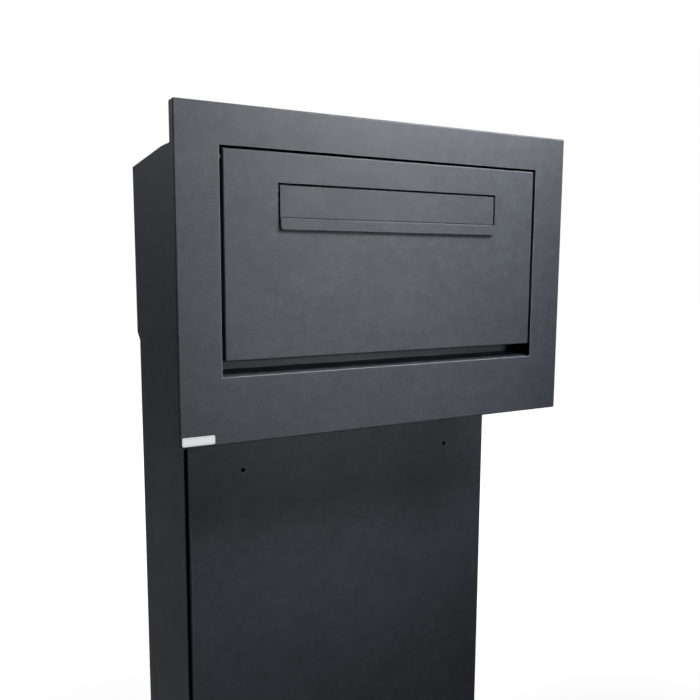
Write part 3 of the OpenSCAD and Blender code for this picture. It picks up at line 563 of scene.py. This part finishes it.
studs.finish(studs.smooth(stud), zinc, turn=(-math.pi / 2, 0, 0))
stud_places = [((low.x + high.x) / 2, low.y, (low.z + high.z) / 2)
               for low, high in separate_parts("frame_studs")]
fit(made_from(studs, "frame_stud_threads", stud_places, **stud_sizes),
    "housing", "zinc_plated", zinc, "frame_studs")
fit(broken_edges("frame_nuts", 0.0004), "housing", "zinc_plated", zinc, "frame_nuts")


# ---- retention flap ----
# A light inner flap hangs behind the opening and keeps hands out of the box.
# It swings on its own rod between two brackets and has a rubber edge.

for node in ("retention_bracket_left", "retention_bracket_right", "retention_stops"):
    fit(broken_edges(node, 0.0002), "housing", "zinc_plated", zinc, node)
for node in ("retention_rod", "retention_rod_clips"):
    fit(broken_edges(node, 0.0003), "housing", "rod_steel", rod_steel, node)
fit(broken_edges("retention_flap_plate", 0.0003), "retention_flap", "anthracite_powder", anthracite,
    "retention_flap_plate")
fit(broken_edges("retention_edge_trim", 0.0004), "retention_flap", "black_rubber", rubber,
    "retention_edge_trim")


# ---- rear door ----
# A folded tray of 1.5 mm sheet closes the body's back. Two zinc-plated hat channels
# are spot welded across its inside.

fit(broken_edges("rear_door_skin", 0.0004), "rear_door", "anthracite_powder", anthracite, "rear_door_skin")
fit(broken_edges("door_stiffeners", 0.0003), "rear_door", "zinc_plated", zinc, "door_stiffeners")


# ---- door seal ----
# A rubber bulb runs round the frame under the door's folded edge, in one length
# with small round corners.

seal_low, seal_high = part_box("door_seal")
seal_mid = (seal_low + seal_high) / 2
bulb_width = 0.005
seal_sizes = {
    "Width": seal_high.x - seal_low.x - bulb_width, "Height": seal_high.z - seal_low.z - bulb_width,
    "Bulb": bulb_width, "Depth": seal_high.y - seal_low.y, "Corner": 0.006,
}
seals = Pattern("Bulb seal", **seal_sizes)
loop = seals.add("GeometryNodeCurvePrimitiveQuadrilateral", {"mode": "RECTANGLE"},
                 {"Width": seals.size("Width"), "Height": seals.size("Height")})
loop = seals.add("GeometryNodeFilletCurve", {"mode": "POLY"},
                 {"Curve": loop, "Count": 6, "Radius": seals.size("Corner")})
bulb = seals.add("GeometryNodeCurvePrimitiveCircle", {"mode": "RADIUS"}, {"Resolution": 18, "Radius": 0.5})
bulb = seals.add("GeometryNodeTransform", inputs={
    "Geometry": bulb, "Scale": seals.vector(seals.size("Bulb"), seals.size("Depth"), 1),
})
tube = seals.add("GeometryNodeCurveToMesh", inputs={"Curve": loop, "Profile Curve": bulb})
seals.finish(seals.smooth(tube, 1.0), rubber, turn=(math.pi / 2, 0, 0))
fit(made_from(seals, "door_seal_bulb", [tuple(seal_mid)], **seal_sizes),
    "housing", "black_rubber", rubber, "door_seal")


# ---- door hinges ----
# Two butt hinges with three knuckles each, zinc plated, with headed steel pins.
# Each leaf is held by three pan-head screws with a cross recess.

upright_steel = drawn_steel("drawn_steel_pins", (3000, 3000, 30))
fit(broken_edges("hinge_leaves_frame", 0.0003), "housing", "zinc_plated", zinc, "hinge_leaves_frame")
fit(broken_edges("hinge_leaves_door", 0.0003), "rear_door", "zinc_plated", zinc, "hinge_leaves_door")
fit(broken_edges("hinge_pins", 0.0004), "housing", "rod_steel", upright_steel, "hinge_pins")

screw_sizes = {"Radius": 0.0034, "Height": 0.0016, "Recess": 0.0011}
screws = Pattern("Cross-head screws", **screw_sizes)
head = screws.disc(screws.size("Radius"), screws.size("Height"), 30,
                   [(0.22, 0.94), (0.16, 0.86), (0.12, 0.72)])
slots = []
for long_way in (True, False):
    span = screws.size("Radius") * 1.15
    slots.append(screws.add("GeometryNodeMeshCube", inputs={"Size": screws.vector(
        span if long_way else screws.size("Recess"), screws.size("Recess") if long_way else span,
        screws.size("Height"),
    )}))
cross = screws.add("GeometryNodeMeshBoolean", {"operation": "UNION", "solver": "EXACT"}, {"Mesh 2": slots})
cross = screws.add("GeometryNodeTransform", inputs={
    "Geometry": cross, "Translation": screws.vector(0, 0, screws.size("Height") * 0.95),
})
head = screws.add("GeometryNodeMeshBoolean", {"operation": "DIFFERENCE", "solver": "EXACT"},
                  {"Mesh 1": head, "Mesh 2": [cross]})
spin = screws.add("FunctionNodeRandomValue", {"data_type": "FLOAT"}, {2: 0.0, 3: math.pi, "Seed": 4},
                  output=1)
screws.finish(screws.smooth(head), zinc, turn=(-math.pi / 2, 0, 0), spin=spin)
for node, body in (("hinge_screws_frame", "housing"), ("hinge_screws_door", "rear_door")):
    places = [((low.x + high.x) / 2, high.y - screw_sizes["Height"], (low.z + high.z) / 2)
              for low, high in separate_parts(node)]
    fit(made_from(screws, node + "_heads", places, **screw_sizes), body, "zinc_plated", zinc, node)


# ---- lock and key ----
# A nickel-plated cam lock in the door: barrel and nut, turning plug with its key,
# and a zinc-plated cam that reaches behind the frame.

def bright_nickel(name):
    """Nickel plate with a slightly warm tone, polished and lightly rubbed."""
    finish = Finish(name)
    rubbed = finish.noise(1, 3, 0.6, finish.stretched(300, 300, 2600))
    clouds = finish.noise(180, 2)
    colour = finish.mix(clouds, (0.50, 0.47, 0.42, 1), (0.66, 0.63, 0.58, 1))
    roughness = 0.14 + 0.1 * clouds + 0.1 * rubbed
    return finish.surface(colour, roughness, finish.bump(rubbed, 0.1, 0.00003), Metallic=1.0)


nickel = bright_nickel("nickel_plate")
fit(broken_edges("lock_barrel", 0.0004), "rear_door", "lock_nickel", nickel, "lock_barrel")
fit(broken_edges("lock_plug", 0.0003), "lock", "lock_nickel", nickel, "lock_plug")
fit(broken_edges("door_key", 0.0004), "lock", "lock_nickel", nickel, "door_key")
fit(broken_edges("lock_nut", 0.0005), "rear_door", "zinc_plated", zinc, "lock_nut")
fit(broken_edges("lock_cam", 0.0003), "lock", "zinc_plated", zinc, "lock_cam")
fit(broken_edges("cam_screw", 0.0003), "lock", "zinc_plated", zinc, "cam_screw")


# ---- studio ----
# A pale floor that fades to a white surround. Two soft boxes hang close over the street side,
# so the plate is brightest at its top; others fill from the left, the front and the rear.

ground = bpy.data.meshes.new("floor")
ground.from_pydata([(-14, -14, 0), (14, -14, 0), (14, 14, 0), (-14, 14, 0)], [], [(0, 1, 2, 3)])
ground.transform(Matrix.Translation((0, 0, cad_low.z - 0.0005)))
pale = Finish("pale_floor")
speckle = pale.noise(8, 2)
seen = pale.add("ShaderNodeLightPath", output="Is Camera Ray")
away = pale.add("ShaderNodeVectorMath", {"operation": "LENGTH"}, {0: pale.place}, output="Value")
whiteness = pale.add("ShaderNodeMapRange", {"interpolation_type": "SMOOTHSTEP"}, {
    "Value": away, "From Min": 0.4, "From Max": 1.5, "To Min": 0.78, "To Max": 1.0,
})
shade = pale.add("ShaderNodeBsdfPrincipled", inputs={
    "Base Color": pale.mix(speckle, (0.34, 0.34, 0.34, 1), (0.36, 0.36, 0.36, 1)), "Roughness": 0.9,
    "Emission Color": whiteness, "Emission Strength": seen,
})
pale.add("ShaderNodeOutputMaterial", inputs={"Surface": shade})
ground.materials.append(pale.material)
floor = bpy.data.objects.new("floor", ground)
bpy.context.scene.collection.objects.link(floor)

surround = bpy.data.worlds.new("surround")
bpy.context.scene.world = surround
surround.use_nodes = True
surround.node_tree.nodes.clear()
sky = Board(surround.node_tree)
seen = sky.add("ShaderNodeLightPath", output="Is Camera Ray")
strength = 0.01 + seen * 0.99
glow = sky.add("ShaderNodeBackground", inputs={"Color": (1, 1, 1, 1), "Strength": strength})
sky.add("ShaderNodeOutputWorld", inputs={"Surface": glow})


def soft_box(name, place, aim, width, height, power, spread=180):
    """A rectangular soft light at a place, pointed at a spot on the box, with its beam narrowed."""
    light = bpy.data.lights.new(name, "AREA")
    light.shape = "RECTANGLE"
    light.size, light.size_y = width, height
    light.energy, light.spread = power, math.radians(spread)
    lamp = bpy.data.objects.new(name, light)
    lamp.location = place
    lamp.rotation_mode = "QUATERNION"
    lamp.rotation_quaternion = (Vector(aim) - Vector(place)).to_track_quat("-Z", "Y")
    bpy.context.scene.collection.objects.link(lamp)


soft_box("overhead", (0.35, -0.75, 1.6), (0.05, -0.23, 1.10), 1.0, 0.3, 2.2, 80)
soft_box("overhead_right", (0.6, -0.8, 1.65), (0.12, -0.23, 1.12), 0.7, 0.3, 4.0, 80)
soft_box("left_rear", (-1.6, 0.9, 2.0), (-0.26, 0.0, 1.0), 0.9, 0.9, 5.3, 90)
soft_box("front_fill", (1.2, -3.0, 1.4), (0, -0.2, 0.7), 1.6, 1.2, 1.4)
soft_box("body_fill", (0.7, -2.6, 1.1), (0, -0.15, 0.72), 0.5, 0.3, 0.46, 24)
soft_box("rear_fill", (0.9, 2.6, 1.7), (0, 0.1, 0.6), 1.6, 1.4, 55)
bpy.context.scene.view_settings.view_transform = "Standard"
